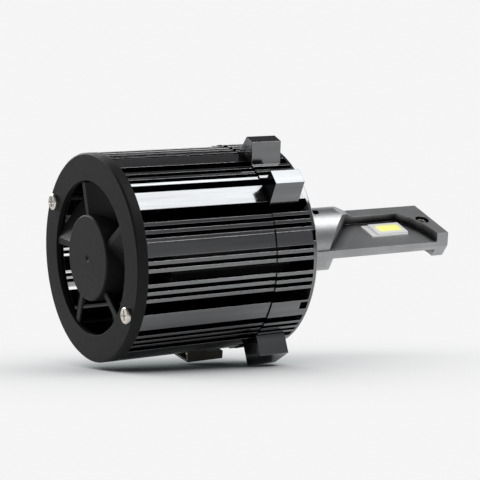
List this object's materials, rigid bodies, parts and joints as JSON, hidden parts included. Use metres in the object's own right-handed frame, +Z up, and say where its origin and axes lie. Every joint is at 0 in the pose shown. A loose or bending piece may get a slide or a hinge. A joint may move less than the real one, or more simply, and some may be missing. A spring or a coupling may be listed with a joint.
{
  "type": "headlight bulb",
  "caption": "Headlight bulb with a round finned heatsink, a rear cooling fan, a bayonet collar and a flat emitter head on a round neck.",
  "frame": {"origin": "on the lamp axis, in the front face of the bayonet collar that faces the headlamp", "axes": "+X along the lamp axis towards the emitter tip, +Z up, +Y to the left looking along +X"},
  "size_m": [0.0921, 0.051, 0.0503],
  "materials": {
    "cover_plastic": "matte",
    "black_anodised": "gloss black anodised",
    "head_anodised": "satin grey-black anodised",
    "seal_rubber": "matte",
    "fan_plastic": "satin",
    "bearing_brass": "satin",
    "circuit_board": "satin",
    "stator_steel": "satin",
    "magnet": "matte",
    "steel_shaft": "polished",
    "capacitor_can": "satin",
    "chip_plastic": "matte",
    "inlet_plastic": "satin",
    "copper": "satin copper",
    "steel_screw": "polished",
    "dark_screw": "satin",
    "brass_pin": "satin",
    "led_white": "satin",
    "led_ceramic": "satin",
    "led_phosphor": "satin"
  },
  "bodies": {
    "housing": {"bayonet_collar": "black_anodised", "collar_screw_1": "dark_screw", "collar_screw_2": "dark_screw", "collar_screw_3": "dark_screw", "collar_seal": "seal_rubber", "cover_screw_1": "steel_screw", "cover_screw_2": "steel_screw", "driver_board": "circuit_board", "driver_capacitor_1": "capacitor_can", "driver_capacitor_2": "capacitor_can", "driver_controller": "chip_plastic", "driver_inductor": "magnet", "driver_transistor": "chip_plastic", "driver_tray": "fan_plastic", "fan_base": "fan_plastic", "fan_base_screw_1": "dark_screw", "fan_base_screw_2": "dark_screw", "fan_bearing": "bearing_brass", "fan_circuit_board": "circuit_board", "fan_coil_1": "copper", "fan_coil_2": "copper", "fan_coil_3": "copper", "fan_coil_4": "copper", "fan_cover": "cover_plastic", "fan_stator": "stator_steel", "heatsink": "black_anodised", "inlet_pin_1": "brass_pin", "inlet_pin_2": "brass_pin", "power_inlet": "inlet_plastic"},
    "fan": {"fan_rotor": "fan_plastic", "fan_yoke": "stator_steel", "fan_magnet": "magnet", "fan_shaft": "steel_shaft"},
    "lamp": {"head_shell_upper": "head_anodised", "head_shell_lower": "head_anodised", "heat_pipe": "copper", "stem_clip": "steel_screw", "tip_screw": "steel_screw", "neck_screw": "dark_screw", "led_board_lower": "led_white", "led_board_upper": "led_white", "led_package_lower": "led_ceramic", "led_package_upper": "led_ceramic", "led_phosphor_lower": "led_phosphor", "led_phosphor_upper": "led_phosphor"}
  },
  "joints": [
    {"name": "fan_spin", "type": "hinge", "parent": "housing", "child": "fan", "pos_m": [-0.038, 0, 0], "axis": [1, 0, 0], "continuous": true},
    {"name": "lamp_turn", "type": "hinge", "parent": "housing", "child": "lamp", "pos_m": [0, 0, 0], "axis": [1, 0, 0], "range_deg": [-15, 15]}
  ]
}
